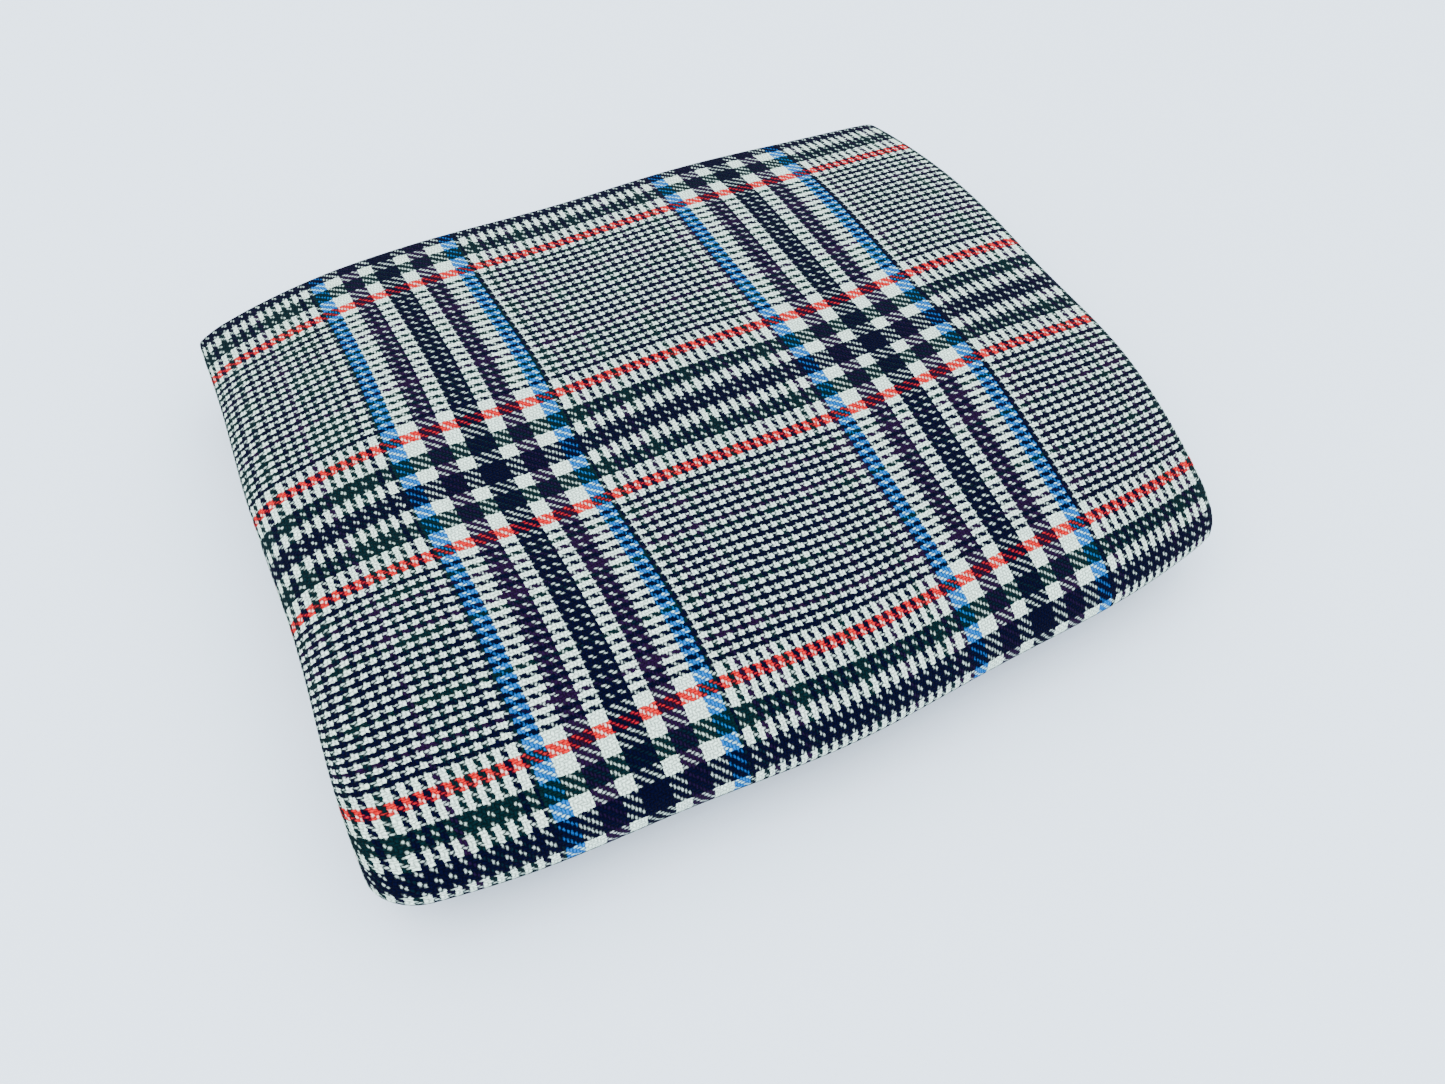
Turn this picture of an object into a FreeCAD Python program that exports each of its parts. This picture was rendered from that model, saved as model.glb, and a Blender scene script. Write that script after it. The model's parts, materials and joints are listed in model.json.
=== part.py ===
import FreeCAD, Part

import math
import os

# A camp blanket: one woven cloth, folded in thirds along its length, then in half twice across its width
# with the last of those two folds at the left, and at last in half along its length, with that fold at the
# front. The pad lies on the ground: X runs across its width, Y from the front to the back and Z up, with
# the origin in the middle of its underside. The cloth bends everywhere, so it is split at its fold lines
# into panels and folds. Each of those is a closed solid that holds the three plies of cloth lying there.
# The half of the pad below the front fold lies still, and the half above it opens like the cover of a book.

# Driving dimensions, in millimetres.
CLOTH_WIDTH = 1300.0  # the cloth laid flat, from selvedge to selvedge
CLOTH_LENGTH = 1700.0  # the cloth laid flat, from the head hem to the foot hem
PLY = 2.45  # one ply of brushed cloth, with the air between it and the next
PLIES_IN_PANEL = 3  # the cloth is folded in thirds along its length
PANELS_IN_HALF = 4  # and in half twice across its width
HALVES_GAP = 0.3  # clearance between the lower half of the pad and the upper half
FOLD_CORE = 0.4  # radius of the air core that a tight fold leaves
HEM_WIDTH = 12.0  # the turned-over edge at the head and at the foot
HEM_SETBACK = 1.0  # how far a hem's free edge stops short of the fold beside it
THREAD_WIDTH = 0.8
THREAD_DEPTH = 0.5
THREAD_INSET = 9.0  # from the hem's free edge to its row of stitches

# What follows from them.
PANEL = PLY * PLIES_IN_PANEL
HALF_HEIGHT = PANEL * PANELS_IN_HALF
HEIGHT = 2.0 * HALF_HEIGHT + HALVES_GAP
HINGE_Z = HEIGHT / 2.0
LEFT_OUTER_RADIUS = 2.0 * PANEL
SIDE_TURNS = math.pi * PANEL * (1.5 + 0.5 + 0.5)
FLAT_WIDTH = (CLOTH_WIDTH - SIDE_TURNS) / PANELS_IN_HALF
PAD_WIDTH = LEFT_OUTER_RADIUS + FLAT_WIDTH + PANEL
LEFT_X = LEFT_OUTER_RADIUS - PAD_WIDTH / 2.0
RIGHT_X = LEFT_X + FLAT_WIDTH
END_RADIUS = PANEL / 2.0
END_TURNS = math.pi * PLY * (0.5 + 1.0)
HALF_THIRD = (CLOTH_LENGTH - END_TURNS) / (2.0 * PLIES_IN_PANEL)
FLAT_LENGTH = HALF_THIRD - math.pi / 2.0 * (HALF_HEIGHT + HALVES_GAP) / 2.0
PAD_DEPTH = HINGE_Z + FLAT_LENGTH + END_RADIUS
FRONT_Y = HINGE_Z - PAD_DEPTH / 2.0
BACK_Y = FRONT_Y + FLAT_LENGTH
# The four panels of a half, from the outside of the pad inwards, and the side folds that join them. A fold
# is (name, side, place of its centre counted in panels from the outside, inner radius, outer radius).
PANEL_NAMES = ("outer_panel", "second_panel", "third_panel", "inner_panel")
SIDE_FOLDS = (
    ("left_outer_fold", -1, 2, PANEL, LEFT_OUTER_RADIUS),
    ("left_inner_fold", -1, 2, FOLD_CORE, PANEL),
    ("right_fold", 1, 1, FOLD_CORE, PANEL),
)
# The foot of the cloth lies on the inner side of these panels, and on the outer side of the other two.
FOOT_INSIDE = ("outer_panel", "third_panel")


class Half:
    """One half of the pad. Heights are counted from the outside of the pad towards the hinge plane."""

    def __init__(self, name, y_front):
        self.name = name
        self.y_front = y_front
        self.upper = name == "upper"

    def z(self, depth):
        """Returns the height of a level that lies depth inside the outside of the pad."""
        return HEIGHT - depth if self.upper else depth

    def slab(self, x_low, x_high, y_low, y_high, depth_low, depth_high):
        """Returns a box between two depths."""
        z_low = min(self.z(depth_low), self.z(depth_high))
        corner = FreeCAD.Vector(x_low, y_low, z_low)
        return Part.makeBox(x_high - x_low, y_high - y_low, depth_high - depth_low, corner)

    def rounded_slab(self, y_end, depth_low, depth_high):
        """Returns a panel's stretch up to y_end, with a full round end behind it."""
        radius = (depth_high - depth_low) / 2.0
        centre = FreeCAD.Vector(LEFT_X, y_end, self.z(depth_low + radius))
        end = Part.makeCylinder(radius, FLAT_WIDTH, centre, FreeCAD.Vector(1, 0, 0))
        slab = self.slab(LEFT_X, RIGHT_X, self.y_front, y_end, depth_low, depth_high)
        return slab.fuse(end).removeSplitter()

    def side_fold(self, side, place, inner, outer):
        """Returns a half tube along Y, bulging to the left (side -1) or to the right (side 1)."""
        x = LEFT_X if side < 0 else RIGHT_X
        face = half_ring(x, self.y_front, self.z(place * PANEL), side, inner, outer)
        return face.extrude(FreeCAD.Vector(0, BACK_Y - self.y_front, 0))

    def hem(self, depth_low, y_free):
        """Returns (strip, thread): one ply's turned-over edge that ends at y_free, and its stitching."""
        strip = self.slab(LEFT_X, RIGHT_X, y_free - HEM_WIDTH, y_free, depth_low, depth_low + PLY)
        y_row = y_free - THREAD_INSET
        thread = self.slab(
            LEFT_X, RIGHT_X, y_row, y_row + THREAD_WIDTH, depth_low, depth_low + THREAD_DEPTH
        )
        return strip.cut(thread), thread


def half_ring(x, y, z, side, inner, outer):
    """Returns the face between two half circles about (x, z) in the plane at y, bulging along side."""

    def point(along_x, along_z):
        return FreeCAD.Vector(x + along_x, y, z + along_z)

    return Part.Face(
        Part.Wire(
            [
                Part.Arc(point(0, outer), point(side * outer, 0), point(0, -outer)).toShape(),
                Part.makeLine(point(0, -outer), point(0, -inner)),
                Part.Arc(point(0, -inner), point(side * inner, 0), point(0, inner)).toShape(),
                Part.makeLine(point(0, inner), point(0, outer)),
            ]
        )
    )


def lower_half():
    """Returns {node: shape} for the half that lies on the ground.

    Its panels end in the fold between the first two thirds of the cloth, and the foot hem lies beside it."""
    half = Half("lower", FRONT_Y)
    shapes, strips, threads = {}, [], []
    for number, name in enumerate(PANEL_NAMES):
        depth = number * PANEL
        y_hem = BACK_Y - HEM_SETBACK
        inside = name in FOOT_INSIDE
        hem_depth = depth + PANEL - PLY if inside else depth
        folded_depth = depth if inside else depth + PLY
        strip, thread = half.hem(hem_depth, y_hem)
        flat = half.slab(LEFT_X, RIGHT_X, FRONT_Y, y_hem - HEM_WIDTH, hem_depth, hem_depth + PLY)
        folded = half.rounded_slab(BACK_Y, folded_depth, folded_depth + 2.0 * PLY)
        shapes[f"lower_{name}"] = folded.fuse(flat).removeSplitter()
        strips.append(strip)
        threads.append(thread)
    for name, side, place, inner, outer in SIDE_FOLDS:
        shapes[f"lower_{name}"] = half.side_fold(side, place, inner, outer)
    shapes["foot_hem"] = Part.makeCompound(strips)
    shapes["foot_hem_thread"] = Part.makeCompound(threads)
    return shapes


def upper_half():
    """Returns {node: shape} for the half that opens.

    Its panels end in the fold between the last two thirds of the cloth, which wraps the head hem."""
    half = Half("upper", FRONT_Y + HALVES_GAP)
    shapes, strips, threads = {}, [], []
    for number, name in enumerate(PANEL_NAMES):
        depth = number * PANEL
        strip, thread = half.hem(depth + PLY, BACK_Y - HEM_SETBACK)
        panel = half.rounded_slab(BACK_Y, depth, depth + PANEL)
        shapes[f"upper_{name}"] = panel.cut(strip).cut(thread)
        strips.append(strip)
        threads.append(thread)
    for name, side, place, inner, outer in SIDE_FOLDS:
        shapes[f"upper_{name}"] = half.side_fold(side, place, inner, outer)
    shapes["head_hem"] = Part.makeCompound(strips)
    shapes["head_hem_thread"] = Part.makeCompound(threads)
    return shapes


def turn_at_front(face):
    """Returns face, which stands below the hinge line, carried half a turn round it by way of the front."""
    hinge = FreeCAD.Vector(0, FRONT_Y, HINGE_Z)
    return face.revolve(hinge, FreeCAD.Vector(1, 0, 0), -180)


def front_fold():
    """Returns {node: shape} for the last fold, at the front: one bend for each panel and each side fold."""
    shapes = {}
    for number, name in enumerate(PANEL_NAMES):
        z_low = number * PANEL
        z_high = min(z_low + PANEL, HINGE_Z - FOLD_CORE)
        corners = [(LEFT_X, z_low), (RIGHT_X, z_low), (RIGHT_X, z_high), (LEFT_X, z_high), (LEFT_X, z_low)]
        outline = Part.makePolygon([FreeCAD.Vector(x, FRONT_Y, z) for x, z in corners])
        shapes[f"front_{name}_bend"] = turn_at_front(Part.Face(outline))
    for name, side, place, inner, outer in SIDE_FOLDS:
        x = LEFT_X if side < 0 else RIGHT_X
        ring = half_ring(x, FRONT_Y, place * PANEL, side, inner, outer)
        shapes[f"front_{name}_bend"] = turn_at_front(ring)
    return shapes


def main():
    """Writes one STEP file per node, and prints the sizes that the design gives."""
    os.makedirs("parts", exist_ok=True)
    for node, shape in {**lower_half(), **upper_half(), **front_fold()}.items():
        if not shape.isValid():
            raise RuntimeError(f"{node} isn't a valid solid")
        shape.exportStep(os.path.join("parts", f"{node}.step"))
        print(f"{node}: {len(shape.Solids)} solids, {shape.Volume / 1000.0:.1f} cm3")
    print(f"pad {PAD_WIDTH:.2f} x {PAD_DEPTH:.2f} x {HEIGHT:.2f} mm, hinge y {FRONT_Y:.3f} z {HINGE_Z:.3f}")


main()
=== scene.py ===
"""A camp blanket: one plaid twill cloth, folded into a soft pad that opens at its front fold like a book."""

import json
import logging
import math
from dataclasses import dataclass, field
from enum import Enum

import bmesh
import bpy
import numpy as np
from bpy.types import Material, Node, NodeSocket, NodeTree, Object
from mathutils import Matrix, Vector


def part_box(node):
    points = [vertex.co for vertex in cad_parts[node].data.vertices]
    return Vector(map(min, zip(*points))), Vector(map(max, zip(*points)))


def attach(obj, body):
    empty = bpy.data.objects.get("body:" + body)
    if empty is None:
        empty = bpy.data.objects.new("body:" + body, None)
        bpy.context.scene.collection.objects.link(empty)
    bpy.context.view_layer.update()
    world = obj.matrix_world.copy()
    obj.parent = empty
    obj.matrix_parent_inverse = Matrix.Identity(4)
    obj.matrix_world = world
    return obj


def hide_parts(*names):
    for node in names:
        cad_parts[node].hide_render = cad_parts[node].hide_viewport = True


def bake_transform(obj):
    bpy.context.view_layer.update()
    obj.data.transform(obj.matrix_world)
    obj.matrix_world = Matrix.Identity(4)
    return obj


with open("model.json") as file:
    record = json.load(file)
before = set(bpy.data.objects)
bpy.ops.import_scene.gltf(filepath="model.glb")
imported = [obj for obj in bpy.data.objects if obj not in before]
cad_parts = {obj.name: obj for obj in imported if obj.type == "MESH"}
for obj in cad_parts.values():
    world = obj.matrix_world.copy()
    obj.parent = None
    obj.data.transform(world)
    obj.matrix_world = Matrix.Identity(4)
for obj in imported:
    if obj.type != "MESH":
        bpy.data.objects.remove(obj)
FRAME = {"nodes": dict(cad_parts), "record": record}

Array = np.ndarray
Colour = tuple[float, float, float]
Point = tuple[float, float, float]

LOG = logging.getLogger("camp_blanket")
TAU = 2.0 * math.pi


class Body(Enum):
    """The two halves of the pad, which move about the front fold."""

    LOWER = "lower_half"
    UPPER = "upper_half"


class Slot(Enum):
    """The material slots of the record."""

    CLOTH = "plaid_cloth"
    THREAD = "hem_thread"


# ------------------------------
# The folded shape
# ------------------------------


@dataclass(frozen=True)
class Leg:
    """One stretch of a flat path: straight, or an even bend through `turn` radians, left turns positive."""

    length: float
    turn: float = 0.0


@dataclass(frozen=True)
class FlatPath:
    """A path of legs laid end to end in a plane, from a start point and heading."""

    start: tuple[float, float]
    heading: float
    legs: tuple[Leg, ...]

    @property
    def length(self) -> float:
        """The path's whole length."""
        return sum(leg.length for leg in self.legs)

    def knots(self) -> list[float]:
        """Returns the distances at which the legs meet, with both ends."""
        return [0.0, *np.cumsum([leg.length for leg in self.legs]).tolist()]

    def trace(self, distance: Array) -> tuple[Array, Array, Array]:
        """Finds the points at some distances along the path.

        On a leg of curvature k that starts at p with heading a, the point at distance d is
        p + ((sin(a + k d) - sin a) / k, (cos a - cos(a + k d)) / k), or p + d (cos a, sin a) when k is 0.

        Args:
            distance: distances along the path.

        Returns:
            The first coordinate, the second coordinate and the heading at each distance.
        """
        first, second, heading = (np.zeros_like(distance) for _ in range(3))
        place, angle, done = np.array(self.start), self.heading, 0.0
        for number, leg in enumerate(self.legs):
            last = number == len(self.legs) - 1
            on = ((distance >= done) | (number == 0)) & ((distance <= done + leg.length) | last)
            along = distance[on] - done
            curve = leg.turn / leg.length
            step = self._step(angle, curve, along)
            first[on], second[on] = place[0] + step[0], place[1] + step[1]
            heading[on] = angle + curve * along
            end = self._step(angle, curve, np.array([leg.length]))
            place = place + np.array([end[0][0], end[1][0]])
            angle += leg.turn
            done += leg.length
        return first, second, heading

    @staticmethod
    def _step(angle: float, curve: float, along: Array) -> tuple[Array, Array]:
        """Returns how far a leg has gone in both coordinates after the distances `along`."""
        if abs(curve) < 1e-9:
            return along * math.cos(angle), along * math.sin(angle)
        swept = angle + curve * along
        return (np.sin(swept) - math.sin(angle)) / curve, (math.cos(angle) - np.cos(swept)) / curve


@dataclass(frozen=True)
class PadFrame:
    """The pad's main places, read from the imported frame, in metres."""

    left_x: float
    right_x: float
    front_y: float
    back_y: float
    hinge_z: float
    ply: float

    @classmethod
    def read(cls, joint: dict) -> "PadFrame":
        """Reads the places from the CAD panels and from the fold's joint.

        Args:
            joint: the record's entry for the fold at the front.

        Returns:
            The frame that the cloth is laid on.
        """
        low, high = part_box("lower_outer_panel")
        _, y, z = joint["pos_m"]
        ply = (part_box("upper_outer_panel")[1].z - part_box("upper_outer_panel")[0].z) / 3.0
        return cls(low.x, high.x, y, high.y - ply, z, ply)


@dataclass(frozen=True)
class Wave:
    """A sine over the pad's plan, with its wavelengths along x and y and the angle it starts at."""

    x_length: float
    y_length: float
    start: float

    def at(self, x: Array, y: Array) -> Array:
        """Returns the wave's value, between -1 and 1, at (x, y)."""
        return np.sin(TAU * (x / self.x_length + y / self.y_length) + self.start)


@dataclass(frozen=True)
class Softness:
    """How far the soft pad gives way from a square stack of plies. Lengths are in metres."""

    nose_reach: float = 0.087  # the front fold starts to curve down this far behind its hinge
    stagger: float = 0.030  # the outer plies reach less far back, by this share of their length
    left_width: float = 0.060  # the left side sinks over this width
    left_sink: float = 0.30  # by this share of its height
    right_width: float = 0.070
    right_sink: float = 0.10
    back_width: float = 0.119
    back_sink: float = 0.33
    sink_limit: float = 1.2  # a sink grows no further than this many widths
    corner_sink: float = 0.02  # the front right corner sinks by this share of its height
    corner_limit: float = 1.1  # and grows no further than this times the right side's x
    floor_share: float = 0.45  # the underside gives way by this share of what the top does
    ripple: float = 0.022  # the top and the underside rise and fall by this share of their height
    swell: tuple[Wave, Wave] = (Wave(0.170, 0.310, 0.7), Wave(-0.420, 0.150, 2.1))  # as these two, multiplied

    bow: float = 0.0047  # warp stripes bow outwards by this much at mid-depth
    bow_lean: float = 0.6  # by this share more at the right, and less at the left
    splay: float = 0.0070  # the sides stand this much further out at the front
    splay_back: float = 0.45  # and further in at the back, by this share of it
    splay_lean: float = 0.35  # by this share less at the right, and more at the left
    sweep: float = 0.0029  # weft stripes are this much further back at the sides
    arch: float = -0.0070  # and this much more so at the back, and less at the front
    lean: float = 0.0020  # the front edge is this much further back at the right, and ahead at the left
    tuck: float = 0.0020  # the front and the back edge are drawn in by this much
    corner: float = 0.0005  # the four corners are drawn in by this much
    corner_power: int = 10
    corner_end: float = 1.05  # and grows no further than this
    nose_end: float = 1.2  # the nose is about this far ahead of mid-depth, in half depths
    waver: float = 0.0009  # the stripes wander by this much
    x_waver: Wave = Wave(0.300, 0.135, 0.4)
    y_waver: Wave = Wave(0.125, -0.280, 1.9)


@dataclass(frozen=True)
class Placed:
    """Points of the cloth in the pad, and which half each is on: 1 above the hinge plane and -1 below."""

    points: Array
    side: Array


@dataclass(frozen=True)
class FoldedPad:
    """The cloth's folds: maps a place on the flat cloth to its place in the folded pad.

    s runs across the cloth from one selvedge to the other, and t along it from the head to the foot. The
    cloth is folded in thirds along t, in half twice across s, and last in half along t, at the front.
    """

    frame: PadFrame
    soft: Softness

    @property
    def panel(self) -> float:
        """The height of three plies."""
        return 3.0 * self.frame.ply

    @property
    def half_height(self) -> float:
        """The height of one half of the pad, with its share of the gap between them."""
        return self.frame.hinge_z

    @property
    def nose_radius(self) -> float:
        """The distance from the hinge line to the middle of the outermost ply."""
        return self.frame.hinge_z - 0.5 * self.frame.ply

    def across(self) -> FlatPath:
        """Returns the path of the three-ply panel in the plane of x and depth.

        From the first selvedge, at the right: the inner panel, the outer wrap at the left, the outer
        panel, the fold at the right, the second panel, the inner wrap at the left and the third panel.
        """
        flat = Leg(self.frame.right_x - self.frame.left_x)
        wide = Leg(1.5 * math.pi * self.panel, -math.pi)
        tight = 0.5 * math.pi * self.panel
        legs = (flat, wide, flat, Leg(tight, -math.pi), flat, Leg(tight, math.pi), flat)
        return FlatPath((self.frame.right_x, -1.5 * self.panel), math.pi, legs)

    def nose_table(self) -> tuple[Array, Array]:
        """Measures the outermost ply along the front fold.

        Its outline is a quarter of an ellipse above and another below: y = c - (n + r) cos(a) and z =
        r sin(a), where a goes from 0 at the nose to a quarter turn, c is the ellipse's middle, n the nose
        reach and r the nose radius.

        Returns:
            The distances from the nose along the ply, and the angles a that belong to them.
        """
        angle = np.linspace(0.0, math.pi / 2.0, 400)
        reach, radius = self.soft.nose_reach + self.nose_radius, self.nose_radius
        speed = np.hypot(reach * np.sin(angle), radius * np.cos(angle))
        steps = 0.5 * (speed[1:] + speed[:-1]) * np.diff(angle)
        return np.concatenate([[0.0], np.cumsum(steps)]), angle

    def half_third(self) -> float:
        """Returns the length of half a third of the cloth, measured along the outermost ply."""
        rise = self.nose_table()[0][-1]
        return rise + self.frame.back_y - self.frame.front_y - self.soft.nose_reach

    def along(self) -> FlatPath:
        """Returns the path of one ply in the plane of length and offset inside its panel.

        From the head: the middle third, the fold at the lower back, the outer third, the fold at the
        upper back round the head, and the inner third, which ends at the foot.
        """
        third, turn = Leg(2.0 * self.half_third()), math.pi * self.frame.ply
        legs = (third, Leg(0.5 * turn, -math.pi), third, Leg(turn, -math.pi), third)
        return FlatPath((self.half_third(), 0.0), math.pi, legs)

    def give(self, x: Array, y: Array) -> Array:
        """Returns the share of its height that the top keeps at (x, y).

        Each side takes away its sink times the square of how far the place lies inside its width. The
        front right corner takes away its own times the squares of how far right and how far forward it lies.
        """
        soft, frame = self.soft, self.frame
        left = (frame.left_x + soft.left_width - x) / soft.left_width
        right = (x - frame.right_x + soft.right_width) / soft.right_width
        back = (y - frame.back_y + soft.back_width) / soft.back_width
        rightwards = np.clip(x / frame.right_x, 0.0, soft.corner_limit)
        forwards = np.clip((frame.back_y - y) / (frame.back_y - frame.front_y), 0.0, 1.0)
        sinks = ((left, soft.left_sink), (right, soft.right_sink), (back, soft.back_sink))
        lost = sum(sink * np.clip(inside, 0.0, soft.sink_limit) ** 2 for inside, sink in sinks)
        return 1.0 - lost - soft.corner_sink * rightwards**2 * forwards**2

    def round_nose(self, length: Array, depth: Array) -> tuple[Array, Array]:
        """Takes plies of some depths round the front fold.

        Each ply follows an ellipse as the outermost one does in `nose_table`, with its own depth in place
        of the nose radius, and goes straight back behind it.

        Args:
            length: distances along the ply from the nose, positive in the upper half.
            depth: distances of the ply from the hinge plane.

        Returns:
            y, and the angle about the hinge line, from 0 at the nose to a quarter turn.
        """
        distance, angle = self.nose_table()
        turned = np.interp(np.abs(length), distance, angle)
        over = np.maximum(np.abs(length) - distance[-1], 0.0)
        behind = self.soft.nose_reach + over * (1.0 - self.soft.stagger * depth / self.half_height)
        return self.frame.front_y + behind - (self.soft.nose_reach + depth) * np.cos(turned), turned

    def drift(self, x: Array, y: Array) -> tuple[Array, Array]:
        """Moves places level with the floor, from the square stack to the soft pad.

        Let a be x over the right side's x, and b be 0 at mid-depth, 1 at the back and -1 at the hinge
        line. x gains bow (1 - b squared) a (1 + bow_lean a) and loses splay b (1 - splay_lean a) a cubed,
        where b counts for less at the back. y gains (sweep + arch b) a squared and, ahead of mid-depth,
        lean a (-b) cubed, and loses tuck b cubed. Both waver with their waves. Last, both are drawn in by
        corner times a high power of a b.

        Args:
            x: places across the pad.
            y: places in its depth.

        Returns:
            The new x and y.
        """
        soft, frame = self.soft, self.frame
        half = (frame.back_y - frame.front_y) / 2.0
        a, b = x / frame.right_x, (y - (frame.front_y + frame.back_y) / 2.0) / half
        ends = np.where(b < 0.0, b / soft.nose_end, b)
        opened = np.where(b < 0.0, b, soft.splay_back * b) * (1.0 - soft.splay_lean * a) * a**3
        bowed = (1.0 - b**2) * a * (1.0 + soft.bow_lean * a)
        x = x + soft.bow * bowed - soft.splay * opened + soft.waver * soft.x_waver.at(x, y)
        y = y + (soft.sweep + soft.arch * b) * a**2
        y = y + soft.lean * a * np.clip(-b, 0.0, soft.nose_end) ** 3 - soft.tuck * b**3
        y = y + soft.waver * soft.y_waver.at(x, y)
        drawn = soft.corner * np.clip(np.abs(a * ends), 0.0, soft.corner_end) ** soft.corner_power
        return x - drawn * np.sign(a), y - drawn * np.sign(ends)

    def place(self, s: Array, t: Array, lift: Array | float = 0.0) -> Placed:
        """Maps places on the flat cloth into the pad.

        The panel's path gives (x, depth) from s, and the ply's path gives (length, offset) from t. The
        offset, with `lift` along the ply's own normal, is laid along the panel's normal. Depth counts
        from the hinge plane, so length and depth then go round the front fold. The height is depth times
        the sine of the angle there, times the ripple and what `give` leaves, and `drift` comes last.

        Args:
            s: distances across the flat cloth.
            t: distances along the flat cloth, the same shape.
            lift: height over the cloth's middle surface, towards its outer face.

        Returns:
            The points, and which half each is on.
        """
        soft, hinge_z = self.soft, self.frame.hinge_z
        x, depth, heading = self.across().trace(s)
        length, offset, turn = self.along().trace(t)
        length = length - np.sin(turn) * lift
        offset = offset + np.cos(turn) * lift
        x = x - np.sin(heading) * offset
        depth = depth + np.cos(heading) * offset + hinge_z - 2.0 * self.panel
        y, turned = self.round_nose(length, depth)
        side = np.where(length >= 0.0, 1.0, -1.0)
        rise = depth * np.sin(turned) * (1.0 + soft.ripple * soft.swell[0].at(x, y) * soft.swell[1].at(x, y))
        keep = self.give(x, y)
        keep = np.where(side > 0.0, keep, 1.0 - soft.floor_share * (1.0 - keep))
        x, y = self.drift(x, y)
        return Placed(np.stack([x, y, hinge_z + side * rise * keep], axis=-1), side)


# ------------------------------
# Meshes
# ------------------------------


def divide(knots: list[float], steps: list[int]) -> Array:
    """Divides each stretch between two knots into equal steps.

    Args:
        knots: the ends of the stretches, in order.
        steps: how many steps each stretch gets.

    Returns:
        All the dividing points, each once.
    """
    parts = [np.linspace(a, b, n, endpoint=False) for a, b, n in zip(knots[:-1], knots[1:], steps)]
    return np.concatenate([*parts, [knots[-1]]])


def mesh_object(name: str, points: Array, faces: list[list[int]]) -> Object:
    """Makes a smooth mesh object and links it to the scene.

    Args:
        name: the object's name.
        points: an array whose last axis holds the coordinates.
        faces: the numbers of each face's points.

    Returns:
        The new object.
    """
    mesh = bpy.data.meshes.new(name)
    mesh.from_pydata(points.reshape(-1, 3).tolist(), [], faces)
    mesh.polygons.foreach_set("use_smooth", np.ones(len(faces), bool))
    mesh.update()
    made = bpy.data.objects.new(name, mesh)
    bpy.context.scene.collection.objects.link(made)
    return made


def grid_object(name: str, points: Array, threads: Array | None = None) -> Object:
    """Makes a mesh object whose vertices are a grid of points, with a face in every cell.

    Args:
        name: the object's name.
        points: an array of rows, columns and three coordinates.
        threads: the warp and weft numbers at each point, kept as the UV map "weave".

    Returns:
        The new object.
    """
    rows, columns = points.shape[:2]
    number = np.arange(rows * columns).reshape(rows, columns)
    corners = (number[:-1, :-1], number[1:, :-1], number[1:, 1:], number[:-1, 1:])
    faces = np.stack(corners, axis=-1).reshape(-1, 4)
    made = mesh_object(name, points, faces.tolist())
    if threads is not None:
        layer = made.data.uv_layers.new(name="weave")
        layer.data.foreach_set("uv", threads.reshape(-1, 2)[faces.ravel()].astype(np.float32).ravel())
        made.data.update()
    return made


def thicken(piece: Object, thickness: float) -> None:
    """Gives a surface its thickness, half to each side."""
    solid = piece.modifiers.new("thickness", "SOLIDIFY")
    solid.thickness, solid.offset = thickness, 0.0


# ------------------------------
# Finishes
# ------------------------------


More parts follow.
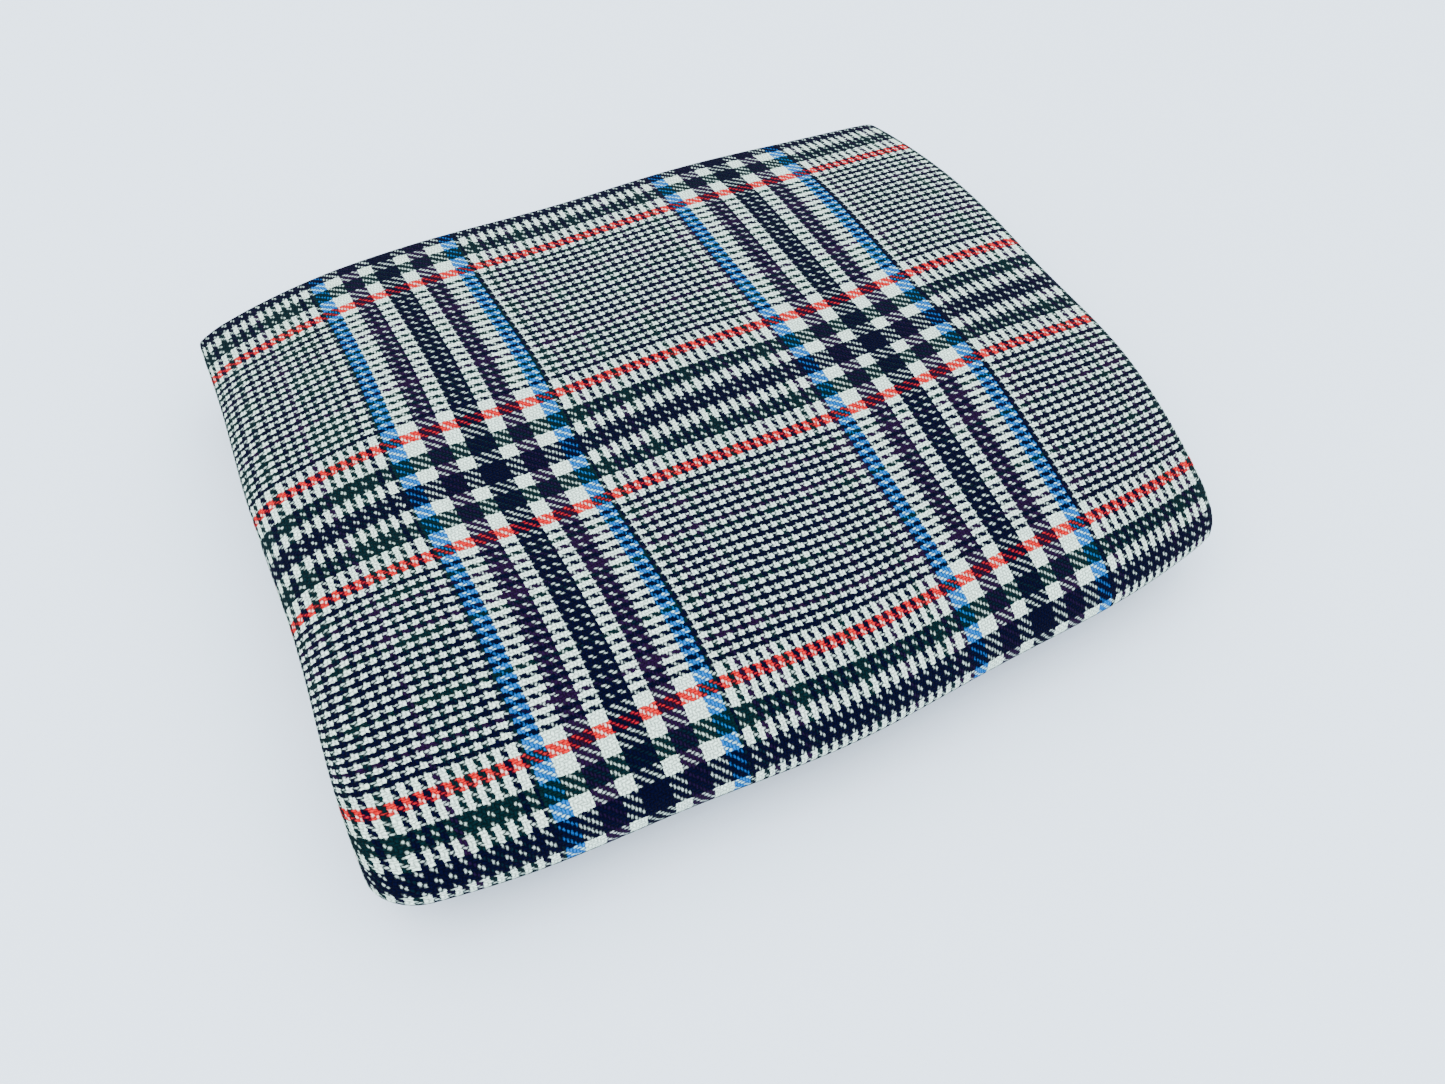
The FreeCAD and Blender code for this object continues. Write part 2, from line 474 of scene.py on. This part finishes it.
class Group:
    """A shader node group that is being wired, with short ways to say arithmetic."""

    def __init__(self, name: str, inputs: dict[str, object], outputs: dict[str, str]) -> None:
        """Makes an empty group.

        Args:
            name: the group's name.
            inputs: input names with their defaults; a tuple of four is a colour and of three a vector.
            outputs: output names with their kinds, as interface.new_socket takes them.
        """
        self.tree = bpy.data.node_groups.new(name, "ShaderNodeTree")
        for label, default in inputs.items():
            kinds = {3: "NodeSocketVector", 4: "NodeSocketColor"}
            kind = kinds[len(default)] if isinstance(default, tuple) else "NodeSocketFloat"
            socket = self.tree.interface.new_socket(label, in_out="INPUT", socket_type=kind)
            socket.default_value = default
        for label, kind in outputs.items():
            self.tree.interface.new_socket(label, in_out="OUTPUT", socket_type=kind)
        self.inputs = self.tree.nodes.new("NodeGroupInput").outputs
        self.result = self.tree.nodes.new("NodeGroupOutput").inputs

    def node(self, kind: str, values: dict, **settings: object) -> Node:
        """Adds a node.

        Args:
            kind: the node's type.
            values: its input sockets by name or number, each with a value or a socket to link.
            settings: its properties.

        Returns:
            The new node.
        """
        made = self.tree.nodes.new(kind)
        for label, setting in settings.items():
            setattr(made, label, setting)
        for label, value in values.items():
            if isinstance(value, NodeSocket):
                self.tree.links.new(value, made.inputs[label])
            else:
                made.inputs[label].default_value = value
        return made

    def math(self, operation: str, *values: object) -> NodeSocket:
        """Returns the outcome of a Math node's operation on some values or sockets."""
        return self.node("ShaderNodeMath", dict(enumerate(values)), operation=operation).outputs[0]

    def mix(self, mask: object, first: object, second: object) -> NodeSocket:
        """Returns the first colour where the mask is 0 and the second where it is 1."""
        return self.blend("MIX", mask, first, second)

    def product(self, *values: object) -> NodeSocket:
        """Returns some values or sockets multiplied together."""
        outcome = values[0]
        for value in values[1:]:
            outcome = self.math("MULTIPLY", outcome, value)
        return outcome

    def about(self, level: object, noise: object, spread: float) -> NodeSocket:
        """Returns a level that a noise between 0 and 1 spreads to both sides."""
        return self.math("ADD", level, self.product(self.math("SUBTRACT", noise, 0.5), spread))

    def choose(self, mask: object, first: object, second: object) -> NodeSocket:
        """Returns the first value where the mask is 0 and the second where it is 1."""
        return self.node("ShaderNodeMix", {0: mask, 2: first, 3: second}, data_type="FLOAT").outputs[0]

    def blend(self, kind: str, mask: object, first: object, second: object) -> NodeSocket:
        """Returns the first colour with the second laid over it as far as the mask says."""
        values = {0: mask, 6: first, 7: second}
        return self.node("ShaderNodeMix", values, data_type="RGBA", blend_type=kind).outputs[2]

    def shade(self, colour: object, amount: object) -> NodeSocket:
        """Returns the colour multiplied by a value."""
        grey = self.node("ShaderNodeCombineColor", {0: amount, 1: amount, 2: amount}).outputs[0]
        return self.blend("MULTIPLY", 1.0, colour, grey)

    def end(self, **sockets: NodeSocket) -> NodeTree:
        """Links the group's outputs, named with their first word in lower case, and returns the group."""
        for label, socket in sockets.items():
            self.tree.links.new(socket, self.result[label.capitalize()])
        return self.tree


def raised_material(name: str, surface: NodeTree, relief: float, strength: float = 1.0) -> Material:
    """Makes a material whose colour and bump come from a group on Object coordinates.

    Args:
        name: the material's name.
        surface: a group with the input Place and the outputs Colour and Height.
        relief: what a Height of 1 stands for, in metres.
        strength: the strength of the bump.

    Returns:
        The material, in which the group's node is called "surface".
    """
    made = bpy.data.materials.new(name)
    made.use_nodes = True
    nodes, links = made.node_tree.nodes, made.node_tree.links
    shader, place = nodes["Principled BSDF"], nodes.new("ShaderNodeTexCoord")
    group, bump = nodes.new("ShaderNodeGroup"), nodes.new("ShaderNodeBump")
    group.name, group.node_tree = "surface", surface
    bump.inputs["Strength"].default_value, bump.inputs["Distance"].default_value = strength, relief
    links.new(place.outputs["Object"], group.inputs["Place"])
    links.new(group.outputs["Colour"], shader.inputs["Base Color"])
    links.new(group.outputs["Height"], bump.inputs["Height"])
    links.new(bump.outputs[0], shader.inputs["Normal"])
    return made


@dataclass(frozen=True)
class Dyes:
    """The dye colours of the yarns, in linear light."""

    cream: Colour = (0.76, 0.93, 0.80)
    navy: Colour = (0.0005, 0.0008, 0.012)
    teal: Colour = (0.001, 0.010, 0.013)
    plum: Colour = (0.011, 0.002, 0.022)
    blue: Colour = (0.000, 0.115, 0.42)
    red: Colour = (0.66, 0.008, 0.012)
    teal_from: float = 0.45  # in the fine zone a pair is teal where its draw is over this
    plum_from: float = 0.72  # and plum over this, and navy under both


@dataclass(frozen=True)
class Band:
    """A run of threads of one dye."""

    dye: Colour
    threads: int


@dataclass(frozen=True)
class Sett:
    """One direction's repeat: bands across the big check, then a fine zone of dark pairs on cream.

    In the fine zone, counted from its first thread, a thread is dark if it lies between `first` and
    `last` with (thread - first) modulo 4 below 2, or, where the zone is edged, in its first or last pair.
    """

    name: str
    bands: tuple[Band, ...]
    repeat: int
    first: int
    last: int
    edged: bool

    @property
    def wide(self) -> int:
        """The number of threads in the bands."""
        return sum(band.threads for band in self.bands)

    @property
    def half_stripe(self) -> float:
        """Half the number of threads in the coloured stripe that edges the big check."""
        return self.bands[0].threads / 2.0

    def group(self, dyes: Dyes) -> NodeTree:
        """Makes the group that turns a thread's number, which is whole, into its colour.

        Args:
            dyes: the yarn colours.

        Returns:
            The group, with the input Thread and the output Colour.
        """
        g = Group(self.name, {"Thread": 0.0}, {"Colour": "NodeSocketColor"})
        inside = g.math("FLOORED_MODULO", g.inputs["Thread"], float(self.repeat))
        fine = g.math("SUBTRACT", inside, float(self.wide))
        dark = g.product(
            g.math("LESS_THAN", g.math("FLOORED_MODULO", g.math("SUBTRACT", fine, self.first), 4.0), 1.5),
            g.math("GREATER_THAN", fine, self.first - 0.5),
            g.math("LESS_THAN", fine, self.last + 0.5),
        )
        if self.edged:
            first_pair = g.math("LESS_THAN", fine, 1.5)
            last_pair = g.math("GREATER_THAN", fine, self.repeat - self.wide - 2.5)
            dark = g.math("MAXIMUM", dark, g.math("MAXIMUM", first_pair, last_pair))
        small = g.mix(dark, (*dyes.cream, 1.0), self._dark_dye(g, dyes))
        colour = g.mix(g.math("GREATER_THAN", fine, -0.5), self._band_dye(g, inside), small)
        return g.end(colour=colour)

    def _band_dye(self, g: Group, inside: object) -> NodeSocket:
        """Returns the colour of the band that a thread's number in the repeat falls in."""
        share = g.math("DIVIDE", g.math("ADD", inside, 0.5), float(self.wide))
        ramp = g.node("ShaderNodeValToRGB", {0: share})
        ramp.color_ramp.interpolation = "CONSTANT"
        stops, done = ramp.color_ramp.elements, 0
        stops.remove(stops[1])
        for band in self.bands:
            stop = stops[0] if done == 0 else stops.new(done / self.wide)
            stop.position, stop.color = done / self.wide, (*band.dye, 1.0)
            done += band.threads
        return ramp.outputs[0]

    @staticmethod
    def _dark_dye(g: Group, dyes: Dyes) -> NodeSocket:
        """Returns a dark pair's colour, drawn from the three dark dyes by the number of the pair."""
        pair = g.math("FLOOR", g.product(g.math("ADD", g.inputs["Thread"], 1.0), 0.5))
        draw = g.node("ShaderNodeTexWhiteNoise", {"W": pair}, noise_dimensions="1D").outputs["Value"]
        hue = g.mix(g.math("GREATER_THAN", draw, dyes.teal_from), (*dyes.navy, 1.0), (*dyes.teal, 1.0))
        return g.mix(g.math("GREATER_THAN", draw, dyes.plum_from), hue, (*dyes.plum, 1.0))


@dataclass(frozen=True)
class PlaidTwill:
    """The cloth: a two-and-two twill of soft melange yarns in a plaid, slightly raised and matt."""

    dyes: Dyes = field(default_factory=Dyes)
    roughness: float = 0.92
    rough_spread: float = 0.12  # the fibres change the roughness by this much in all
    specular: float = 0.02
    sheen: float = 0.01
    sheen_roughness: float = 0.45
    yarn_relief: float = 0.0006  # in metres
    relief_strength: float = 0.9
    fibre_relief: float = 0.5  # as a share of the yarn's

    roundness: float = 0.92  # across the yarn: 1 is a half circle and 0 is flat
    end_sink: float = 0.55  # the share of its form that a float loses at its ends
    fibre_along: float = 0.9  # the noise of the fibres, in features per thread along the yarn
    fibre_across: float = 5.0  # and across it
    wander: float = 1.4  # how far the yarns' outlines wander, in threads
    wander_scale: float = 0.9

    melange: float = 0.7  # how far the fibres differ in shade
    gap_painted_shade: float = 0.10  # painted shade: the colour keeps this share in the gaps between yarns
    form_painted_light: float = 1.05  # and the yarn's form adds this much painted light towards its crown
    fade: float = 0.10  # how far the dye varies slowly over the cloth
    fade_scale: float = 22.0
    bleed_from: float = 1.13  # the crossing yarn shows through where the form is below this
    bleed_gain: float = 1.75
    bleed_spread: float = 2.2  # and more or less so with the fibres
    bleed_range: tuple[float, float] = (0.12, 0.95)
    tinge: float = 0.25  # the crossing yarn also tints the one over it by this share
    tinge_light: float = 12.0  # once it is this many times as light

    def warp(self) -> Sett:
        """Returns the sett across the cloth, in which the big checks are edged in blue."""
        bands = self._check(self.dyes.blue, 6, self.dyes.plum)
        return Sett("warp colours", bands, repeat=156, first=5, last=86, edged=True)

    def weft(self) -> Sett:
        """Returns the sett along the cloth, in which the big checks are edged in red."""
        bands = self._check(self.dyes.red, 5, self.dyes.teal)
        return Sett("weft colours", bands, repeat=144, first=3, last=76, edged=False)

    def _check(self, edge: Colour, threads: int, line: Colour) -> tuple[Band, ...]:
        """Returns the bands of a big check: its edge, a dark line, the navy middle, and both mirrored."""
        cream = self.dyes.cream
        half = (Band(edge, threads), Band(cream, 7), Band(line, 8), Band(cream, 6))
        return (*half, Band(self.dyes.navy, 10), *reversed(half))

    def weave(self) -> NodeTree:
        """Makes the group that says which thread is on top, and its form.

        With warp number i and weft number j, m = (i - j + 2) modulo 4, and the weft is on top where m is 0
        or 1. A float is two threads long. Its form is round across the yarn, the root of 1 - r c squared,
        where c goes from -1 to 1 across and r is the roundness, and it sinks at its ends with the sine of
        half a turn along it.

        Returns:
            The group, with the input Threads and the outputs Warp and Weft, which are thread numbers, Top,
            which is 1 where the weft is on top, Form and Fibre.
        """
        outs = {label: "NodeSocketFloat" for label in ("Warp", "Weft", "Top", "Form", "Fibre")}
        g = Group("twill", {"Threads": (0.0, 0.0, 0.0)}, outs)
        parts = g.node("ShaderNodeSeparateXYZ", {0: g.inputs["Threads"]}).outputs
        warp, weft = g.math("FLOOR", parts[0]), g.math("FLOOR", parts[1])
        beside, beyond = g.math("FRACT", parts[0]), g.math("FRACT", parts[1])
        m = g.math("FLOORED_MODULO", g.math("ADD", g.math("SUBTRACT", warp, weft), 2.0), 4.0)
        top = g.math("LESS_THAN", m, 1.5)
        on_weft = g.product(g.math("ADD", m, beside), 0.5)
        on_warp = g.product(g.math("ADD", g.math("SUBTRACT", 3.0, m), beyond), 0.5)
        lengthwise = g.choose(top, on_warp, on_weft)
        c = g.math("SUBTRACT", g.product(g.choose(top, beside, beyond), 2.0), 1.0)
        section = g.math("SQRT", g.math("SUBTRACT", 1.0, g.product(c, c, self.roundness)))
        ends = g.math("SINE", g.product(lengthwise, math.pi))
        form = g.product(section, g.math("ADD", 1.0 - self.end_sink, g.product(ends, self.end_sink)))
        by_warp = g.product(parts[0], g.choose(top, self.fibre_across, self.fibre_along))
        by_weft = g.product(parts[1], g.choose(top, self.fibre_along, self.fibre_across))
        grain = g.node("ShaderNodeCombineXYZ", {0: by_warp, 1: by_weft, 2: top}).outputs[0]
        fibre = g.node("ShaderNodeTexNoise", {"Vector": grain, "Scale": 1.0, "Detail": 2.0}).outputs[0]
        return g.end(warp=warp, weft=weft, top=top, form=form, fibre=fibre)

    def material(self) -> Material:
        """Makes the cloth's material from the woven yarns, with their relief in bump.

        Returns:
            The material, which reads the UV map "weave" and Object coordinates.
        """
        made = raised_material("plaid twill", self.yarn(), self.yarn_relief, self.relief_strength)
        nodes, links = made.node_tree.nodes, made.node_tree.links
        shader, surface, threads = nodes["Principled BSDF"], nodes["surface"], nodes.new("ShaderNodeUVMap")
        shader.inputs["Specular IOR Level"].default_value = self.specular
        shader.inputs["Sheen Weight"].default_value = self.sheen
        shader.inputs["Sheen Roughness"].default_value = self.sheen_roughness
        threads.uv_map = "weave"
        links.new(threads.outputs[0], surface.inputs["Threads"])
        links.new(surface.outputs["Roughness"], shader.inputs["Roughness"])
        return made

    def yarn(self) -> NodeTree:
        """Makes the group for the surface of the woven yarns.

        The colour is that of the thread on top, and near its edges and ends that of the yarn that crosses
        under it, if darker. It darkens with painted shade in the gaps and at the sunken float ends, lightens
        with painted light on the crowns, speckles with the fibres, and varies slowly.

        Returns:
            The group, with the inputs Threads and Place and the outputs Colour, Roughness and Height.
        """
        outs = {"Colour": "NodeSocketColor", "Roughness": "NodeSocketFloat", "Height": "NodeSocketFloat"}
        g = Group("woven yarns", {"Threads": (0.0, 0.0, 0.0), "Place": (0.0, 0.0, 0.0)}, outs)
        weave = g.node("ShaderNodeGroup", {}, node_tree=self.weave())
        g.tree.links.new(self._wandered(g), weave.inputs["Threads"])
        sides = []
        for sett, label in ((self.warp(), "Warp"), (self.weft(), "Weft")):
            side = g.node("ShaderNodeGroup", {}, node_tree=sett.group(self.dyes))
            g.tree.links.new(weave.outputs[label], side.inputs["Thread"])
            sides.append(side.outputs["Colour"])
        top, under = g.mix(weave.outputs["Top"], *sides), g.mix(weave.outputs["Top"], *reversed(sides))
        fibre, form = weave.outputs["Fibre"], weave.outputs["Form"]
        fade = {"Vector": g.inputs["Place"], "Scale": self.fade_scale, "Detail": 3.0}
        slow = g.node("ShaderNodeTexNoise", fade).outputs[0]
        speckle = g.about(1.0, fibre, 2.0 * self.melange)
        # painted light and shade from the yarn's form: darker in the gaps and at the float ends, lighter on
        # the crowns
        gap = g.math("ADD", self.gap_painted_shade, g.product(form, self.form_painted_light))
        amount = g.product(speckle, gap, g.about(1.0, slow, 2.0 * self.fade))
        colour = g.shade(self._bled(g, top, under, weave), amount)
        rough = g.about(self.roughness, fibre, self.rough_spread)
        height = g.math("ADD", form, g.product(fibre, self.fibre_relief))
        return g.end(colour=colour, roughness=rough, height=height)

    def _wandered(self, g: Group) -> NodeSocket:
        """Returns the thread numbers with a noise added to them, so that no yarn has a ruled edge."""
        threads = g.inputs["Threads"]
        values = {"Vector": threads, "Scale": self.wander_scale, "Detail": 4.0}
        noise = g.node("ShaderNodeTexNoise", values).outputs[1]
        centred = g.node("ShaderNodeVectorMath", {0: noise, 1: (0.5, 0.5, 0.5)}, operation="SUBTRACT")
        values = {0: centred.outputs[0], "Scale": self.wander}
        shift = g.node("ShaderNodeVectorMath", values, operation="SCALE").outputs[0]
        return g.node("ShaderNodeVectorMath", {0: threads, 1: shift}, operation="ADD").outputs[0]

    def _bled(self, g: Group, top: object, under: object, weave: Node) -> NodeSocket:
        """Darkens the yarn on top with the one that crosses under it.

        The mask is the gain times how far the form lies below its level, spread by the fibres and clamped.

        Args:
            g: the group being wired.
            top: the colour of the yarn on top.
            under: the colour of the crossing yarn.
            weave: the node of the weave.

        Returns:
            The darkened colour.
        """
        fibre, form = weave.outputs["Fibre"], weave.outputs["Form"]
        hollow = g.product(g.math("SUBTRACT", self.bleed_from, form), self.bleed_gain)
        mask = g.about(hollow, fibre, self.bleed_spread)
        least, most = self.bleed_range
        mask = g.math("MINIMUM", g.math("MAXIMUM", mask, least), most)
        tinged = g.blend("DARKEN", self.tinge, top, g.shade(under, self.tinge_light))
        return g.blend("DARKEN", mask, tinged, under)


@dataclass(frozen=True)
class SewingThread:
    """Twisted cream sewing thread."""

    colour: Colour = (0.62, 0.64, 0.56)
    roughness: float = 0.6
    twist: float = 4000.0  # in radians a metre
    relief: float = 0.0001
    # the colour keeps this share between the strands, as painted shade
    hollow_painted_shade: float = 0.75

    def material(self) -> Material:
        """Makes the thread's material: a fine twist in bump, with painted shade between the strands.

        Returns:
            The material, which reads Object coordinates.
        """
        outs = {"Colour": "NodeSocketColor", "Height": "NodeSocketFloat"}
        g = Group("twisted thread", {"Place": (0.0, 0.0, 0.0)}, outs)
        values = {"Vector": g.inputs["Place"], "Scale": self.twist / TAU, "Distortion": 1.0}
        strand = g.node("ShaderNodeTexWave", values).outputs["Fac"]
        # painted shade between the strands of the twist
        amount = g.math("ADD", self.hollow_painted_shade, g.product(strand, 1.0 - self.hollow_painted_shade))
        colour = g.shade((*self.colour, 1.0), amount)
        made = raised_material("sewing thread", g.end(colour=colour, height=strand), self.relief)
        made.node_tree.nodes["Principled BSDF"].inputs["Roughness"].default_value = self.roughness
        return made


# ------------------------------
# The blanket
# ------------------------------


@dataclass(frozen=True)
class Threads:
    """Numbers the threads of the flat cloth, so that the plaid has its place on the top of the pad."""

    pad: FoldedPad
    finish: PlaidTwill
    warp_repeat: float = 0.15571  # the size of the plaid's repeat across the cloth
    weft_repeat: float = 0.14317  # and along it
    blue_x: float = -0.10954  # the middle of the first blue stripe, on the outer panel before it drifts
    red_behind_nose: float = 0.03696  # the middle of the front red stripe, along the cloth from the nose

    def at(self, s: Array, t: Array) -> Array:
        """Returns the warp and weft numbers, with their fractions, at places on the flat cloth.

        A number is the distance from thread 0 over the pitch. Thread 0 is the first of a coloured stripe:
        for the weft, of the one a repeat behind the front stripe. Weft numbers grow towards the head.
        """
        warp, weft = self.finish.warp(), self.finish.weft()
        warp_pitch, weft_pitch = self.warp_repeat / warp.repeat, self.weft_repeat / weft.repeat
        blue = self.pad.across().knots()[2] + self.blue_x - self.pad.frame.left_x
        nose = self.pad.along().knots()[2] + self.pad.half_third()
        red = nose + self.red_behind_nose + self.weft_repeat
        warp_number = (s - blue) / warp_pitch + warp.half_stripe
        weft_number = (red - t) / weft_pitch + weft.half_stripe
        return np.stack([warp_number, weft_number], axis=-1)


@dataclass(frozen=True)
class ClothSheet:
    """The whole cloth, folded. It turns over at the front fold."""

    pad: FoldedPad
    threads: Threads
    thickness: float = 0.0016
    across_steps: tuple[int, ...] = (26, 22, 84, 12, 26, 12, 26)  # one for each leg across
    along_steps: tuple[int, ...] = (5, 26, 5, 8, 6, 40, 78, 12, 5, 26, 5)  # three for a third, one for a fold
    nose_span: float = 0.075  # the middle stretch of a third goes this far to each side of the nose

    def lines(self) -> tuple[Array, Array]:
        """Returns where the mesh lines run across and along the flat cloth: closer at the folds."""
        cuts, knots = [], self.pad.along().knots()
        for number, (a, b) in enumerate(zip(knots[:-1], knots[1:])):
            middle = (a + b) / 2.0
            cuts += [a] if number % 2 else [a, middle - self.nose_span, middle + self.nose_span]
        along = divide([*cuts, knots[-1]], list(self.along_steps))
        return divide(self.pad.across().knots(), list(self.across_steps)), along

    def build(self, finish: Material) -> Object:
        """Makes the cloth and dresses it.

        Args:
            finish: the cloth's material.

        Returns:
            The cloth's object.
        """
        across, along = self.lines()
        s, t = np.meshgrid(across, along, indexing="ij")
        placed = self.pad.place(s, t)
        piece = grid_object("blanket_cloth", placed.points, self.threads.at(s, t))
        piece.data.materials.append(finish)
        thicken(piece, self.thickness)
        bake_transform(piece)
        kinds = ("_panel", "_fold", "_bend")
        nodes = [node for node in sorted(FRAME["nodes"]) if any(kind in node for kind in kinds)]
        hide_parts(*nodes)
        return piece


@dataclass(frozen=True)
class EndHem:
    """The turned hem at one short end of the cloth: its cloth and its row of stitches."""

    name: str
    pad: FoldedPad
    threads: Threads
    at_head: bool
    width: float = 0.012
    radius: float = 0.0012  # of the turn round the cloth's end
    thickness: float = 0.0008
    run_steps: tuple[int, ...] = (5, 8, 5)
    across_steps: tuple[int, ...] = (40, 22, 40, 12, 40, 12, 40)
    inset: float = 0.009  # from the cloth's end to the row of stitches
    first_stitch: float = 0.003  # from the selvedge
    stitch: float = 0.0028
    pitch: float = 0.0042
    thread_radius: float = 0.00026
    point: float = 0.08  # a stitch starts and stops this share of half a turn inside its sine
    rings: int = 5
    spokes: int = 6

    @property
    def body(self) -> Body:
        """The half of the pad that this end lies on."""
        return Body.UPPER if self.at_head else Body.LOWER

    def inward(self, distance: Array) -> Array:
        """Returns the places along the cloth that lie some distances in from this end."""
        return distance if self.at_head else self.pad.along().length - distance

    def turning(self, finish: Material) -> Object:
        """Makes the turned strip.

        Its profile runs in from the end on one side, goes half round the end, and runs in again on the
        other side. The profile is carried across the whole cloth.

        Args:
            finish: the cloth's material.

        Returns:
            The strip's object.
        """
        legs = (Leg(self.width), Leg(math.pi * self.radius, math.pi), Leg(self.width))
        profile = FlatPath((self.width, self.radius), math.pi, legs)
        run = divide(profile.knots(), list(self.run_steps))
        inwards, lift, _ = profile.trace(run)
        across = divide(self.pad.across().knots(), list(self.across_steps))
        s, end = np.meshgrid(across, self.inward(inwards), indexing="ij")
        placed = self.pad.place(s, end, np.broadcast_to(lift, s.shape))
        piece = grid_object(f"{self.name}_hem_turning", placed.points, self.threads.at(s, end))
        piece.data.materials.append(finish)
        thicken(piece, self.thickness)
        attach(piece, self.body.value)
        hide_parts(f"{self.name}_hem")
        return piece

    def stitches(self, finish: Material) -> Object:
        """Makes the row of stitches that shows on both sides of the hem.

        Each stitch is a spindle along the row: its radius follows the sine of half a turn along it, and
        its rings are laid along the cloth's normal and length.

        Args:
            finish: the sewing thread's material.

        Returns:
            The row's object.
        """
        starts = np.arange(self.first_stitch, self.pad.across().length - self.stitch, self.pitch)
        along = np.linspace(0.0, 1.0, self.rings)
        turn = np.arange(self.spokes) * TAU / self.spokes
        arc = math.pi * (self.point + (1.0 - 2.0 * self.point) * along)
        thick = self.thread_radius * np.sin(arc)[None, :, None]
        s = (starts[:, None, None] + along[None, :, None] * self.stitch) + 0.0 * turn
        end = self.inset + thick * np.cos(turn) + 0.0 * s
        lift = self.radius + self.thickness / 2.0 + thick * np.sin(turn) + 0.0 * s
        both = [self.pad.place(s, self.inward(end), side * lift).points for side in (1.0, -1.0)]
        faces = self._spindle_faces(len(starts) * 2)
        piece = mesh_object(f"{self.name}_hem_stitches", np.concatenate(both), faces)
        piece.data.materials.append(finish)
        self._face_outwards(piece)
        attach(piece, self.body.value)
        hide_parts(f"{self.name}_hem_thread")
        return piece

    def _spindle_faces(self, count: int) -> list[list[int]]:
        """Returns the faces of some spindles: four-cornered ones between the rings, and two caps each."""
        spokes, spoke = self.spokes, np.arange(self.spokes)
        first = np.arange(count)[:, None, None] * self.rings * spokes
        ring = first + np.arange(self.rings - 1)[None, :, None] * spokes
        after = (spoke + 1) % spokes
        corners = (ring + spoke, ring + after, ring + spokes + after, ring + spokes + spoke)
        walls = np.stack(corners, axis=-1).reshape(-1, 4)
        caps = [first[:, 0] + spoke[::-1], first[:, 0] + (self.rings - 1) * spokes + spoke]
        return [*walls.tolist(), *caps[0].tolist(), *caps[1].tolist()]

    @staticmethod
    def _face_outwards(piece: Object) -> None:
        """Recalculates the piece's normals outwards."""
        made = bmesh.new()
        made.from_mesh(piece.data)
        bmesh.ops.recalc_face_normals(made, faces=made.faces)
        made.to_mesh(piece.data)
        made.free()


@dataclass(frozen=True)
class Studio:
    """The floor, the light and the camera."""

    floor: Colour = (0.82, 0.88, 1.00)
    floor_roughness: float = 0.9
    floor_side: float = 8.0
    sky: Colour = (0.82, 0.94, 1.00)
    sky_strength: float = 3.0
    camera_place: Point = (-0.1840, -0.3319, 0.4709)
    azimuth: float = -31.19
    elevation: float = 52.89
    roll: float = 4.79
    lens: float = 36.12
    sensor: float = 36.0

    def build(self) -> None:
        """Makes the floor, the lights and the camera."""
        self._floor()
        self._sky()
        self._light("key", place=(-0.9, -0.2, 1.9), size=1.4, power=26.0)
        self._light("fill", place=(1.3, -1.4, 1.6), size=1.8, power=14.0)
        self._camera()

    def _floor(self) -> None:
        """Makes a large matt floor under the object."""
        ends = np.array([-0.5, 0.5]) * self.floor_side
        x, y = np.meshgrid(ends, ends, indexing="ij")
        floor = grid_object("floor", np.stack([x, y, 0.0 * x], axis=-1))
        made = bpy.data.materials.new("pale floor")
        made.use_nodes = True
        shader = made.node_tree.nodes["Principled BSDF"]
        shader.inputs["Base Color"].default_value = (*self.floor, 1.0)
        shader.inputs["Roughness"].default_value = self.floor_roughness
        floor.data.materials.append(made)

    def _sky(self) -> None:
        """Lights everything evenly from all round."""
        world = bpy.data.worlds.new("even light")
        world.use_nodes = True
        light = world.node_tree.nodes["Background"].inputs
        light["Color"].default_value, light["Strength"].default_value = (*self.sky, 1.0), self.sky_strength
        bpy.context.scene.world = world

    @staticmethod
    def _light(name: str, place: Point, size: float, power: float) -> None:
        """Hangs a square soft light that faces the object.

        Args:
            name: the light's name.
            place: where it hangs, in metres.
            size: the length of its side.
            power: its power in watts.
        """
        light = bpy.data.lights.new(name, "AREA")
        light.shape, light.size, light.energy = "SQUARE", size, power
        lamp = bpy.data.objects.new(name, light)
        facing = Vector(place).to_track_quat("Z", "Y").to_matrix().to_4x4()
        lamp.matrix_world = Matrix.Translation(place) @ facing
        bpy.context.scene.collection.objects.link(lamp)

    def _camera(self) -> None:
        """Stands the camera at its place, turned to its azimuth and elevation and slightly rolled."""
        angles = (self.azimuth, self.elevation, self.roll)
        azimuth, elevation, roll = (math.radians(angle) for angle in angles)
        level = math.cos(elevation)
        back = Vector((math.sin(azimuth) * level, -math.cos(azimuth) * level, math.sin(elevation)))
        right = Vector((0.0, 0.0, 1.0)).cross(back).normalized()
        up = back.cross(right)
        turned = right * math.cos(roll) + up * math.sin(roll)
        upright = up * math.cos(roll) - right * math.sin(roll)
        data = bpy.data.cameras.new("camera")
        data.sensor_width, data.lens = self.sensor, self.lens
        camera = bpy.data.objects.new("camera", data)
        facing = Matrix((turned, upright, back)).transposed().to_4x4()
        camera.matrix_world = Matrix.Translation(self.camera_place) @ facing
        bpy.context.scene.collection.objects.link(camera)
        bpy.context.scene.camera = camera


def main() -> None:
    """Builds the studio and the blanket, and notes the sizes."""
    logging.basicConfig(level=logging.INFO, format="%(name)s: %(message)s")
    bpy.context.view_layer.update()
    Studio().build()
    joint = FRAME["record"]["behaviour"]["joints"][0]
    pad = FoldedPad(PadFrame.read(joint), Softness())
    finish = PlaidTwill()
    cloth, thread = finish.material(), SewingThread().material()
    threads = Threads(pad, finish)
    sheet = ClothSheet(pad, threads).build(cloth)
    flat = (pad.across().length, pad.along().length)
    LOG.info("%s: %d faces, %.3f m by %.3f m flat", sheet.name, len(sheet.data.polygons), *flat)
    edges = []
    for name, at_head in (("head", True), ("foot", False)):
        hem = EndHem(name, pad, threads, at_head)
        edges += [hem.turning(cloth), hem.stitches(thread)]
        LOG.info("%s hem: %s and %s on %s", name, edges[-2].name, edges[-1].name, hem.body.value)


if __name__ == "__main__":
    main()
